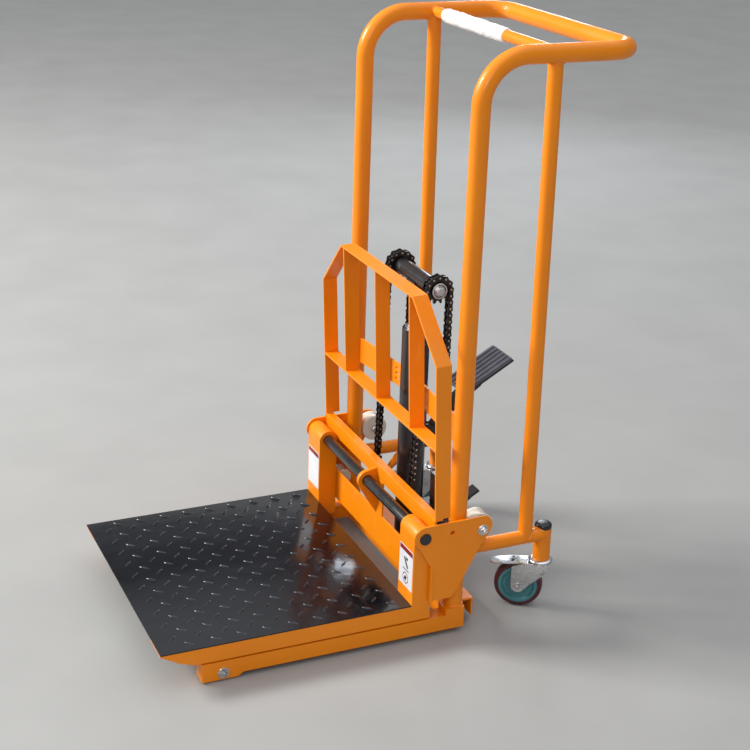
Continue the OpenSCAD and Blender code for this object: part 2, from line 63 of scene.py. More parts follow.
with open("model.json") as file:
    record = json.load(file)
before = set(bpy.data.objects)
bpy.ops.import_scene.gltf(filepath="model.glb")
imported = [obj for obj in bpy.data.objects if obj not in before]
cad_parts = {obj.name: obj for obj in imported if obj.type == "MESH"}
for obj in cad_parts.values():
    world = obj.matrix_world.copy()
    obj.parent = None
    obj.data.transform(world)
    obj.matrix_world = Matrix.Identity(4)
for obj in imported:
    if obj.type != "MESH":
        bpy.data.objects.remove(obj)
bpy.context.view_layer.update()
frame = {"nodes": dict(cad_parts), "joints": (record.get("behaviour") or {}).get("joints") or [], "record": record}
nodes = frame["nodes"]
record = frame["record"]
node_slot = {s["node"]: s["material_slot"] for s in record["subparts"]}
joint = {j["name"]: j for j in frame["joints"]}
scene = bpy.context.scene
rng = random.Random(7)

X, Y, Z = Vector((1, 0, 0)), Vector((0, 1, 0)), Vector((0, 0, 1))


def middle(node):
    low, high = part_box(node)
    return (low + high) / 2


def place(name):
    return Vector(joint[name]["pos_m"])


# ---------------------------------------------------------------- materials

def new_material(name, color, rough, metallic=0.0, coat=0.0, coat_rough=0.04, ior=1.5):
    mat = bpy.data.materials.new(name)
    mat.use_nodes = True
    tree = mat.node_tree
    shader = tree.nodes["Principled BSDF"]
    shader.inputs["Base Color"].default_value = (*color, 1)
    shader.inputs["Roughness"].default_value = rough
    shader.inputs["Metallic"].default_value = metallic
    shader.inputs["Coat Weight"].default_value = coat
    shader.inputs["Coat Roughness"].default_value = coat_rough
    shader.inputs["IOR"].default_value = ior
    return mat, tree, shader


def tex_noise(tree, scale, detail=3.0, stretch=(1, 1, 1), distortion=0.0):
    """Noise in the piece's own coordinates, stretched along its axes"""
    coords = tree.nodes.new("ShaderNodeTexCoord")
    mapping = tree.nodes.new("ShaderNodeMapping")
    mapping.inputs["Scale"].default_value = stretch
    tex = tree.nodes.new("ShaderNodeTexNoise")
    tex.inputs["Scale"].default_value = scale
    tex.inputs["Detail"].default_value = detail
    tex.inputs["Distortion"].default_value = distortion
    tree.links.new(coords.outputs["Object"], mapping.inputs["Vector"])
    tree.links.new(mapping.outputs["Vector"], tex.inputs["Vector"])
    return tex.outputs["Fac"]


def ramp(tree, value, stops):
    node = tree.nodes.new("ShaderNodeValToRGB")
    tree.links.new(value, node.inputs["Fac"])
    while len(node.color_ramp.elements) < len(stops):
        node.color_ramp.elements.new(0.5)
    for element, (at, color) in zip(node.color_ramp.elements, stops):
        element.position = at
        element.color = (*color, 1) if len(color) == 3 else color
    return node.outputs["Color"]


def mix(tree, factor, a, b, mode="MIX"):
    node = tree.nodes.new("ShaderNodeMix")
    node.data_type = "RGBA"
    node.blend_type = mode
    for key, value in ((0, factor), (6, a), (7, b)):
        if isinstance(value, bpy.types.NodeSocket):
            tree.links.new(value, node.inputs[key])
        elif key:
            node.inputs[key].default_value = (*value, 1)
        else:
            node.inputs[key].default_value = value
    return node.outputs[2]


def bump(tree, shader, height, strength, distance, below=None):
    node = tree.nodes.new("ShaderNodeBump")
    node.inputs["Strength"].default_value = strength
    node.inputs["Distance"].default_value = distance
    tree.links.new(height, node.inputs["Height"])
    if below is not None:
        tree.links.new(below, node.inputs["Normal"])
    tree.links.new(node.outputs["Normal"], shader.inputs["Normal"])
    return node.outputs["Normal"]


def grey(v):
    return (v, v, v)


def painted(name, light, dark, rough, coat, peel=0.25, dust=None, ior=1.5):
    """Paint with slow colour drift, orange peel, a few scuffs and a haze of dust"""
    mat, tree, shader = new_material(name, light, rough, 0.0, coat, 0.06, ior)
    drift = ramp(tree, tex_noise(tree, 5.0, 4.0), [(0.3, dark), (0.7, light)])
    scuff = ramp(tree, tex_noise(tree, 38.0, 6.0, (1, 1, 0.25), 0.6), [(0.66, grey(0)), (0.76, grey(1))])
    worn = tuple(0.6 * a + 0.4 * b for a, b in zip(light, dust or grey(0.5)))
    color = mix(tree, scuff, drift, worn)
    tree.links.new(color, shader.inputs["Base Color"])
    gloss = ramp(tree, tex_noise(tree, 16.0, 5.0), [(0.3, grey(rough * 0.8)), (0.75, grey(rough * 1.35))])
    tree.links.new(gloss, shader.inputs["Roughness"])
    bump(tree, shader, tex_noise(tree, 420.0, 1.0), peel, 0.0004)
    return mat


def metal(name, light, dark, rough, grain=(1, 1, 1), stain=None):
    mat, tree, shader = new_material(name, light, rough, 1.0)
    color = ramp(tree, tex_noise(tree, 30.0, 4.0), [(0.3, dark), (0.7, light)])
    if stain:
        mask = ramp(tree, tex_noise(tree, 55.0, 5.0), [(0.56, grey(0)), (0.7, grey(1))])
        color = mix(tree, mask, color, stain)
    tree.links.new(color, shader.inputs["Base Color"])
    fine = tex_noise(tree, 600.0, 2.0, grain)
    gloss = ramp(tree, fine, [(0.3, grey(rough * 0.7)), (0.7, grey(rough * 1.4))])
    tree.links.new(gloss, shader.inputs["Roughness"])
    bump(tree, shader, fine, 0.15, 0.0002)
    return mat


def moulded(name, light, dark, rough, grain=0.2, scale=500.0, subsurface=0.0, coat=0.0):
    mat, tree, shader = new_material(name, light, rough, 0.0, coat)
    color = ramp(tree, tex_noise(tree, 24.0, 4.0), [(0.3, dark), (0.7, light)])
    tree.links.new(color, shader.inputs["Base Color"])
    gloss = ramp(tree, tex_noise(tree, 60.0, 3.0), [(0.3, grey(rough * 0.8)), (0.7, grey(rough * 1.25))])
    tree.links.new(gloss, shader.inputs["Roughness"])
    bump(tree, shader, tex_noise(tree, scale, 2.0), grain, 0.0003)
    if subsurface:
        shader.inputs["Subsurface Weight"].default_value = subsurface
        shader.inputs["Subsurface Radius"].default_value = (0.01, 0.009, 0.008)
        shader.inputs["Subsurface Scale"].default_value = 0.4
    return mat


def tread_enamel(name, dark, light, smooth, dull):
    """Glossy black enamel with smears and slow waves in the coat"""
    mat, tree, shader = new_material(name, dark, 0.16, 0.0, 0.12, 0.06, 1.46)
    smear = tex_noise(tree, 9.0, 6.0, (1, 0.45, 1), 1.2)
    color = ramp(tree, smear, [(0.35, dark), (0.75, light)])
    tree.links.new(color, shader.inputs["Base Color"])
    gloss = ramp(tree, smear, [(0.3, grey(smooth)), (0.7, grey(dull))])
    tree.links.new(gloss, shader.inputs["Roughness"])
    wave = bump(tree, shader, tex_noise(tree, 34.0, 2.0), 0.35, 0.0016)
    bump(tree, shader, tex_noise(tree, 300.0, 2.0), 0.12, 0.0004, wave)
    return mat


ORANGE = (0.94, 0.275, 0.002)
ORANGE_DEEP = (0.88, 0.245, 0.0015)
MATERIALS = {
    "orange_paint": painted("orange_powder_coat", ORANGE, ORANGE_DEEP, 0.36, 0.08, 0.10,
                            (0.84, 0.38, 0.06), 1.42),
    "black_paint": painted("satin_black_paint", (0.016, 0.016, 0.018), (0.009, 0.009, 0.010), 0.30, 0.2,
                           0.2),
    "tread_plate": tread_enamel("tread_enamel", (0.0022, 0.0024, 0.0038), (0.0058, 0.0064, 0.0100),
                                0.13, 0.24),
    "chain_steel": metal("oiled_chain_steel", (0.075, 0.072, 0.070), (0.03, 0.03, 0.03), 0.32),
    "chrome": metal("hard_chrome", (0.72, 0.73, 0.75), (0.62, 0.63, 0.65), 0.10, (1, 1, 0.1)),
    "zinc": metal("bright_zinc", (0.78, 0.79, 0.80), (0.60, 0.61, 0.63), 0.26, (1, 1, 0.3),
                  (0.50, 0.47, 0.38)),
    "nylon": moulded("cast_nylon", (0.80, 0.77, 0.68), (0.70, 0.67, 0.58), 0.38, 0.12, 350.0, 0.15),
    "wheel_core": moulded("teal_moulding", (0.065, 0.235, 0.265), (0.045, 0.175, 0.20), 0.38, 0.15),
    "black_plastic": moulded("black_plastic", (0.018, 0.019, 0.021), (0.010, 0.010, 0.011), 0.26, 0.1),
    "pedal_rubber": moulded("pedal_rubber", (0.115, 0.125, 0.155), (0.080, 0.088, 0.112), 0.40,
                             0.3, 700.0),
    "foam": moulded("foam_wrap", (0.88, 0.88, 0.87), (0.74, 0.75, 0.77), 0.45, 0.6, 120.0, 0.2),
}
# Lighter, bluish enamel on the lugs: a painted sheen standing in for the sky and window light they reflect
LUG_PAINTED_SHEEN = tread_enamel("lug_enamel_painted_sheen", (0.010, 0.012, 0.018), (0.024, 0.028, 0.040), 0.20, 0.32)
TYRE = moulded("maroon_tread", (0.085, 0.016, 0.020), (0.045, 0.008, 0.011), 0.40, 0.25)
PAPER = moulded("label_paper", (0.80, 0.81, 0.84), (0.72, 0.73, 0.77), 0.40, 0.1, 260.0, 0.0, 0.3)
RED_INK = moulded("label_red_ink", (0.30, 0.018, 0.016), (0.22, 0.012, 0.012), 0.38, 0.1, 260.0)
BLACK_INK = moulded("label_black_ink", (0.05, 0.035, 0.045), (0.03, 0.02, 0.03), 0.38, 0.1, 260.0)
WELD = painted("painted_weld", ORANGE, ORANGE_DEEP, 0.30, 0.4, 0.5, (0.75, 0.45, 0.2))
PIN_STEEL = metal("bright_pin_steel", (0.55, 0.55, 0.55), (0.32, 0.31, 0.30), 0.28)

# ---------------------------------------------------------------- mesh helpers


def add_piece(name, bm, materials, body, hides=(), smooth=35, bevel=0.0, segments=2, shape=None):
    """Turns bm into a shown piece that rides on a body; shape moves it into the frame first"""
    if shape is not None:
        bmesh.ops.transform(bm, matrix=shape, verts=bm.verts)
    bmesh.ops.recalc_face_normals(bm, faces=bm.faces)
    mesh = bpy.data.meshes.new(name)
    bm.to_mesh(mesh)
    bm.free()
    mesh.shade_smooth()
    mesh.set_sharp_from_angle(angle=math.radians(smooth))
    for mat in materials if isinstance(materials, (list, tuple)) else [materials]:
        mesh.materials.append(mat)
    obj = bpy.data.objects.new(name, mesh)
    scene.collection.objects.link(obj)
    if bevel:
        round_edges(obj, bevel, segments)
    if body:
        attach(obj, body)
    if hides:
        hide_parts(*hides)
    return obj


def round_edges(obj, width, segments=2, angle=38):
    mod = obj.modifiers.new("round_edges", "BEVEL")
    mod.width = width
    mod.segments = segments
    mod.limit_method = "ANGLE"
    mod.angle_limit = math.radians(angle)
    mod.harden_normals = True
    return mod


def basis(axis):
    z = Vector(axis).normalized()
    x = (Y if abs(z.y) < 0.9 else Z).cross(z).normalized()
    return x, z.cross(x), z


def lathe(bm, profile, point, axis, steps=48, index=0):
    """Turns a (radius, height) profile round the axis through point"""
    x, y, z = basis(axis)
    rings = []
    for radius, height in profile:
        if radius < 1e-7:
            rings.append([bm.verts.new(point + z * height)])
            continue
        turn = [2 * math.pi * i / steps for i in range(steps)]
        rings.append([bm.verts.new(point + z * height + (x * math.cos(a) + y * math.sin(a)) * radius)
                      for a in turn])
    for a, b in zip(rings, rings[1:]):
        for i in range(steps):
            j = (i + 1) % steps
            corner = [a[i % len(a)], a[j % len(a)], b[j % len(b)], b[i % len(b)]]
            ring = list(dict.fromkeys(corner))
            if len(ring) > 2:
                bm.faces.new(ring).material_index = index
    return rings


def prism(bm, outline, axis, low, high, index=0):
    """Extrudes an outline along one axis of the frame, from low to high"""
    def point(u, v, t):
        return {"x": (t, u, v), "y": (u, t, v), "z": (u, v, t)}[axis]
    a = [bm.verts.new(point(u, v, low)) for u, v in outline]
    b = [bm.verts.new(point(u, v, high)) for u, v in outline]
    faces = [bm.faces.new(a), bm.faces.new(list(reversed(b)))]
    for i in range(len(a)):
        j = (i + 1) % len(a)
        faces.append(bm.faces.new([a[i], b[i], b[j], a[j]]))
    for f in faces:
        f.material_index = index
    return a + b


def hexagon(radius, turn=0.0):
    return [(radius * math.cos(math.radians(60 * i) + turn),
             radius * math.sin(math.radians(60 * i) + turn))
            for i in range(6)]


def aim(point, axis):
    """Matrix from a piece drawn along +Z at the origin to one along axis at point"""
    x, y, z = basis(axis)
    return Matrix.Translation(point) @ Matrix((x, y, z)).transposed().to_4x4()


def hex_part(bm, across, low, high, matrix, turn=0.3):
    """Hexagon nut or bolt head with its corners turned down, along +Z of matrix"""
    r = across / math.sqrt(3)
    layers = [(0.9, low), (1.0, low + 0.12 * (high - low)), (1.0, high - 0.15 * (high - low)),
              (0.88, high)]
    rings = []
    for scale, z in layers:
        rings.append([bm.verts.new(matrix @ Vector((u * scale, v * scale, z)))
                      for u, v in hexagon(r, turn)])
    bm.faces.new(list(reversed(rings[0])))
    bm.faces.new(rings[-1])
    for a, b in zip(rings, rings[1:]):
        for i in range(6):
            bm.faces.new([a[i], a[(i + 1) % 6], b[(i + 1) % 6], b[i]])


def fastener(bm, point, axis, across, height, washer_r, washer_t, thread_r, stick_out, turn=0.3):
    """Washer, nut and the rounded end of a threaded bolt, standing on point"""
    z = Vector(axis).normalized()
    point = Vector(point)
    w = washer_r
    lathe(bm, [(0, 0), (w * 0.97, 0), (w, washer_t * 0.3), (w, washer_t * 0.7), (w * 0.96, washer_t),
               (0, washer_t)], point, z)
    hex_part(bm, across, washer_t, washer_t + height, aim(point, z), turn)
    top = washer_t + height
    ridges = []
    rise = top
    while rise < top + stick_out - 0.0016:
        ridges += [(thread_r * 0.93, rise), (thread_r, rise + 0.0006)]
        rise += 0.0012
    lathe(bm, [(thread_r * 0.93, top - 0.001)] + ridges + [(thread_r * 0.9, top + stick_out - 0.001),
                                                           (thread_r * 0.7, top + stick_out),
                                                           (0, top + stick_out)], point, z, 24)


def sweep(bm, points, radius, sides=10, closed=False):
    """Round bar through points; radius is a number or a function of the share along the way"""
    count = len(points)
    rings = []
    side = None
    for i, p in enumerate(points):
        if closed:
            tangent = points[(i + 1) % count] - points[i - 1]
        else:
            tangent = points[min(i + 1, count - 1)] - points[max(i - 1, 0)]
        tangent.normalize()
        if side is None:
            side = tangent.orthogonal().normalized()
        side = (side - tangent * side.dot(tangent)).normalized()
        other = tangent.cross(side)
        r = radius(i / max(count - 1, 1)) if callable(radius) else radius
        rings.append([bm.verts.new(p + side * math.cos(a) * r + other * math.sin(a) * r)
                      for a in (2 * math.pi * k / sides for k in range(sides))])
    pairs = list(zip(rings, rings[1:])) + ([(rings[-1], rings[0])] if closed else [])
    for a, b in pairs:
        for k in range(sides):
            m = (k + 1) % sides
            bm.faces.new([a[k], a[m], b[m], b[k]])
    if not closed:
        bm.faces.new(list(reversed(rings[0])))
        bm.faces.new(rings[-1])


def weld_bead(bm, points, size, closed=True):
    """A rippled bead of weld along points"""
    path = []
    total = len(points) if closed else len(points) - 1
    step = 0.0016
    for i in range(total):
        a, b = points[i], points[(i + 1) % len(points)]
        pieces = max(1, int((b - a).length / step))
        path += [a.lerp(b, k / pieces) for k in range(pieces)]
    if not closed:
        path.append(points[-1])
    phase = rng.uniform(0, 6)

    def radius(t):
        at = t * len(path)
        return size * (1 + 0.12 * math.sin(at * 1.35 + phase) + 0.08 * math.sin(at * 0.31))
    sweep(bm, path, radius, 7, closed)


def ring_points(point, axis, radius, count=28):
    x, y, _ = basis(axis)
    turn = [2 * math.pi * i / count for i in range(count)]
    return [point + (x * math.cos(a) + y * math.sin(a)) * radius for a in turn]


# ---------------------------------------------------------------- CAD nodes that stay

for node_name, obj in nodes.items():
    mat = MATERIALS[node_slot[node_name]]
    obj.data.materials.clear()
    obj.data.materials.append(mat)

# Width in mm of the rounded edges of the nodes that keep their CAD shape
SHEET_NODES = {
    "leg_left": 2.0, "leg_right": 2.0, "base_crossmember": 1.5, "mid_brace": 1.0, "side_plate_left": 1.0,
    "side_plate_right": 1.0, "upper_crossbar": 1.2, "lower_crossbeam": 1.2, "backrest_rim": 1.0,
    "backrest_bars": 1.0, "fork_left": 2.0, "fork_right": 2.0, "pump_lever": 1.0, "release_pedal": 1.0,
    "pump_block": 1.5, "chain_anchor": 1.0, "chain_lugs": 1.0, "yoke": 1.5, "upper_roller_left": 1.5,
    "upper_roller_right": 1.5, "lower_roller_left": 1.5, "lower_roller_right": 1.5,
    "front_roller_left": 1.2, "front_roller_right": 1.2, "fork_rod": 1.5, "lift_cylinder": 1.2,
}
for node_name, width in SHEET_NODES.items():
    obj = nodes[node_name]
    weld = obj.modifiers.new("join", "WELD")
    weld.merge_threshold = 0.00002
    flat = obj.modifiers.new("join_flat_faces", "DECIMATE")
    flat.decimate_type = "DISSOLVE"
    flat.angle_limit = math.radians(0.6)
    round_edges(obj, width * MM, 3)

# ---------------------------------------------------------------- tread plate

plate_low, plate_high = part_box("platform")
LUG_PITCH = 0.061
LUG_LENGTH, LUG_WIDTH, LUG_RISE = 0.0280, 0.0080, 0.0019


def add_lug(bm, cx, cy, top, angle):
    """One lentil: a lens with pointed ends and a rounded back, sunk slightly into the plate"""
    along = Vector((math.cos(angle), math.sin(angle), 0))
    across = Vector((-along.y, along.x, 0))
    rows = 9
    spans = (-1, -0.72, -0.36, 0, 0.36, 0.72, 1)
    grid = []
    for i in range(rows):
        t = -1 + 2 * i / (rows - 1)
        half = LUG_WIDTH / 2 * (1 - t * t) ** 0.75
        rise = LUG_RISE * (1 - abs(t) ** 3)
        line = []
        for s in spans:
            z = top - 0.0002 + (rise + 0.0002) * math.sqrt(max(0.0, 1 - s * s))
            line.append(Vector((cx, cy, z)) + along * (t * LUG_LENGTH / 2) + across * (s * half))
        grid.append(line)
    start, end = bm.verts.new(grid[0][3]), bm.verts.new(grid[-1][3])
    body = [[bm.verts.new(p) for p in line] for line in grid[1:-1]]
    for a, b in zip(body, body[1:]):
        for k in range(len(spans) - 1):
            bm.faces.new([a[k], a[k + 1], b[k + 1], b[k]]).material_index = 1
    for tip, line in ((start, body[0]), (end, body[-1])):
        for k in range(len(spans) - 1):
            bm.faces.new([tip, line[k], line[k + 1]]).material_index = 1
    rim = [start] + [line[0] for line in body] + [end] + [line[-1] for line in reversed(body)]
    bm.faces.new(rim)


bm = bmesh.new()
corner = [(plate_low.x, plate_low.y), (plate_high.x, plate_low.y), (plate_high.x, plate_high.y),
          (plate_low.x, plate_high.y)]
prism(bm, corner, "z", plate_low.z, plate_high.z)
bmesh.ops.bevel(bm, geom=list(bm.edges), offset=0.0006, segments=2, affect="EDGES", profile=0.5)
# Bare margin round the plate, and the first lug of the pattern
edge = 0.016
first_x = plate_low.x + 0.0225
first_y = plate_low.y + 0.0135
for i in range(12):
    for j in range(11):
        for half, angle in ((0, 45), (1, -45)):
            cx = first_x + (i + 0.5 * half) * LUG_PITCH
            cy = first_y + (j + 0.5 * half) * LUG_PITCH
            if (plate_low.x + edge < cx < plate_high.x - edge
                    and plate_low.y + edge < cy < plate_high.y - edge):
                add_lug(bm, cx, cy, plate_high.z, math.radians(angle))
add_piece("tread_plate", bm, [MATERIALS["tread_plate"], LUG_PAINTED_SHEEN], "platform",
          ["platform"], 40)

# ---------------------------------------------------------------- chains and sprockets

PITCH = 0.015875
TEETH = 12
PITCH_R = PITCH / 2 / math.sin(math.pi / TEETH)
CHAIN_LEAN = math.radians(1.5)
LINK_R, WAIST = 0.0072, 0.0052


def link_outline():
    """Outline of a link plate in (along, across), round at both pins and waisted between them"""
    points = []
    for centre, start in ((0.0, 110), (PITCH, -70)):
        for k in range(8):
            a = math.radians(start + k * 20)
            points.append((centre + LINK_R * math.cos(a), LINK_R * math.sin(a)))
        points.append((PITCH / 2, -WAIST if centre == 0 else WAIST))
    return points


def add_link(bm, x, a, b, outer):
    """One link from pin a to pin b, at sideways position x; a and b are points in the frame"""
    along = (b - a).normalized()
    across = X.cross(along)
    plates = (0.0078, 0.0098) if outer else (0.0051, 0.0071)
    for side in (-1, 1):
        rings = []
        for t in plates:
            rings.append([bm.verts.new(a + along * u + across * v + X * (x - a.x + side * t))
                          for u, v in link_outline()])
        bm.faces.new(rings[0])
        bm.faces.new(rings[1])
        for i in range(len(rings[0])):
            j = (i + 1) % len(rings[0])
            bm.faces.new([rings[0][i], rings[0][j], rings[1][j], rings[1][i]])
    for pin in (a, b):
        centre = Vector((x, pin.y, pin.z))
        if outer:
            tip = 0.0110
            profile = [(0, -tip), (0.0019, -tip), (0.0025, -tip + 0.0006), (0.0025, tip - 0.0006),
                       (0.0019, tip), (0, tip)]
            lathe(bm, profile, centre, X, 12, 1)
        else:
            profile = [(0, -0.0050), (0.0050, -0.0050), (0.0050, 0.0050), (0, 0.0050)]
            lathe(bm, profile, centre, X, 16)


for side, sign in (("left", -1), ("right", 1)):
    hub = place("sprocket_spin_" + side)
    x = hub.x
    anchor_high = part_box("chain_anchor")[1]
    lug_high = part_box("chain_lugs")[1]
    rear_top = hub + Y * PITCH_R
    front_top = hub - Y * PITCH_R
    down = Vector((0, -math.sin(CHAIN_LEAN), -math.cos(CHAIN_LEAN)))
    rear_count = round((rear_top.z - anchor_high.z) / PITCH)
    front_count = round((front_top.z - lug_high.z) / PITCH / math.cos(CHAIN_LEAN))
    rear = [rear_top - Z * PITCH * k for k in range(rear_count, -1, -1)]
    wrap = [hub + Vector((0, math.cos(a), math.sin(a))) * PITCH_R
            for a in (math.radians(30 * k) for k in range(7))]
    front = [front_top + down * PITCH * k for k in range(front_count + 1)]
    done = 0
    for part, pins in (("rear_run", rear), ("wrap", wrap), ("front_run", front)):
        bm = bmesh.new()
        for a, b in zip(pins, pins[1:]):
            add_link(bm, x, a, b, done % 2 == 0)
            done += 1
        name = f"chain_{side}_{part}"
        mats = [MATERIALS["chain_steel"], PIN_STEEL]
        obj = add_piece(name, bm, mats, {"wrap": "ram", "front_run": "carriage"}.get(part),
                        (), 30)
        if part == "wrap":
            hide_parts("chain_" + side)
        elif part == "front_run":
            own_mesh(obj)
        else:
            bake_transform(obj)

    # toothed wheel
    bm = bmesh.new()
    seat = 0.0052
    outline = []
    for i in range(TEETH):
        for deg in (-12.6, -10.8, -8.6, -6, -3, 0, 3, 6, 8.6, 10.8, 12.6, 15):
            t = math.radians(abs(deg))
            if abs(deg) < 9.5:
                r = PITCH_R * math.cos(t) - math.sqrt(max(0.0, seat ** 2 - (PITCH_R * math.sin(t)) ** 2))
            else:
                r = {10.8: PITCH_R + 0.0010, 12.6: PITCH_R + 0.0029, 15: PITCH_R + 0.0034}[abs(deg)]
            turn = math.radians(30 * i + deg)
            outline.append((r * math.cos(turn), r * math.sin(turn)))
    half = 0.0042
    rings = []
    for scale, t in ((0.965, -half), (1.0, -half + 0.0014), (1.0, half - 0.0014), (0.965, half)):
        rings.append([bm.verts.new((x + t, hub.y + u * scale, hub.z + v * scale)) for u, v in outline])
    for a, b in zip(rings, rings[1:]):
        for i in range(len(a)):
            j = (i + 1) % len(a)
            bm.faces.new([a[i], a[j], b[j], b[i]])
    for ring, face in ((rings[0], -1), (rings[-1], 1)):
        inner = [bm.verts.new((x + face * half, hub.y + (v.co.y - hub.y) * 0.5,
                               hub.z + (v.co.z - hub.z) * 0.5)) for v in ring]
        for i in range(len(ring)):
            j = (i + 1) % len(ring)
            bm.faces.new([ring[i], ring[j], inner[j], inner[i]])
    for face in (-1, 1):
        boss = [(0.0192, half), (0.0178, half + 0.0026), (0.0168, half + 0.0034), (0.0105, half + 0.0034)]
        lathe(bm, boss, hub, X * face, 40)
    add_piece("sprocket_wheel_" + side, bm, MATERIALS["chain_steel"], "sprocket_" + side,
              ["sprocket_" + side], 40)

    # washer, nut and shaft end outside the sprocket
    bm = bmesh.new()
    low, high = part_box("sprocket_shaft")
    face = abs(hub.x) + 0.0085
    stick = high.x - face - 0.0165
    fastener(bm, Vector((sign * face, hub.y, hub.z)), X * sign, 0.0200, 0.0075, 0.0135, 0.0020, 0.0078,
             stick)
    ring = [(0.0145, 0.0008), (0.0150, 0.0030), (0.0160, 0.0042), (0.0182, 0.0042), (0.0192, 0.0032),
            (0.0192, 0), (0.0145, 0)]
    lathe(bm, ring + [ring[0]], Vector((sign * face, hub.y, hub.z)), X * sign, 48)
    add_piece("shaft_nut_" + side, bm, MATERIALS["zinc"], "ram",
              ["sprocket_shaft"] if sign > 0 else [], 30)

bm = bmesh.new()
shaft_mid = middle("sprocket_shaft")
reach = place("sprocket_spin_right").x + 0.009
lathe(bm, [(0, -reach), (0.010, -reach), (0.010, reach), (0, reach)], shaft_mid, X, 40)
add_piece("sprocket_shaft_bar", bm, MATERIALS["zinc"], "ram", (), 30, 0.0005)

# ---------------------------------------------------------------- lift cylinder top

gland_low, gland_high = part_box("gland_ring")
gland = Vector(((gland_low.x + gland_high.x) / 2, (gland_low.y + gland_high.y) / 2, gland_low.z))
bm = bmesh.new()
r = (gland_high.x - gland_low.x) / 2
t = gland_high.z - gland_low.z
bore = 0.0176
lathe(bm, [(bore, 0), (r - 0.001, 0), (r, 0.0008), (r, t * 0.62), (r - 0.0012, t * 0.72),
           (r - 0.004, t * 0.76), (r - 0.005, t), (bore + 0.003, t), (bore + 0.001, t - 0.0012),
           (bore, t - 0.003), (bore, 0)], gland, Z, 56)
for k in range(6):
    a = math.radians(60 * k + 12)
    at = gland + Vector((math.cos(a), math.sin(a), 0)) * (r - 0.0015) + Z * t * 0.35
    lathe(bm, [(0, 0), (0.0016, 0), (0.0016, 0.0021), (0.0011, 0.0024), (0, 0.0024)], at,
          Vector((math.cos(a), math.sin(a), 0)), 14)
add_piece("gland_nut", bm, MATERIALS["zinc"], "frame", ["gland_ring"], 30)

# ---------------------------------------------------------------- casters

WHEEL_R = place("caster_spin_right").z
# Brake hinge: its distance from the swivel axis, and the rest angle of the pedal
BRAKE_X, BRAKE_TILT = 0.034, math.radians(8)


def caster_matrix(side):
    swivel = place("caster_swivel_" + side)
    spin = place("caster_spin_" + side)
    heading = math.atan2(spin.y - swivel.y, spin.x - swivel.x)
    return Matrix.Translation((swivel.x, swivel.y, 0)) @ Matrix.Rotation(heading, 4, "Z")


race_low, race_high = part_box("caster_races")
race_r = (race_high.y - race_low.y) / 2
TRAIL = (place("caster_spin_right").xy - place("caster_swivel_right").xy).length
crown_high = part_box("caster_fork_right")[1].z


def arc(cx, cy, r, start, end, count):
    return [(cx + r * math.cos(math.radians(start + (end - start) * i / count)),
             cy + r * math.sin(math.radians(start + (end - start) * i / count)))
            for i in range(count + 1)]


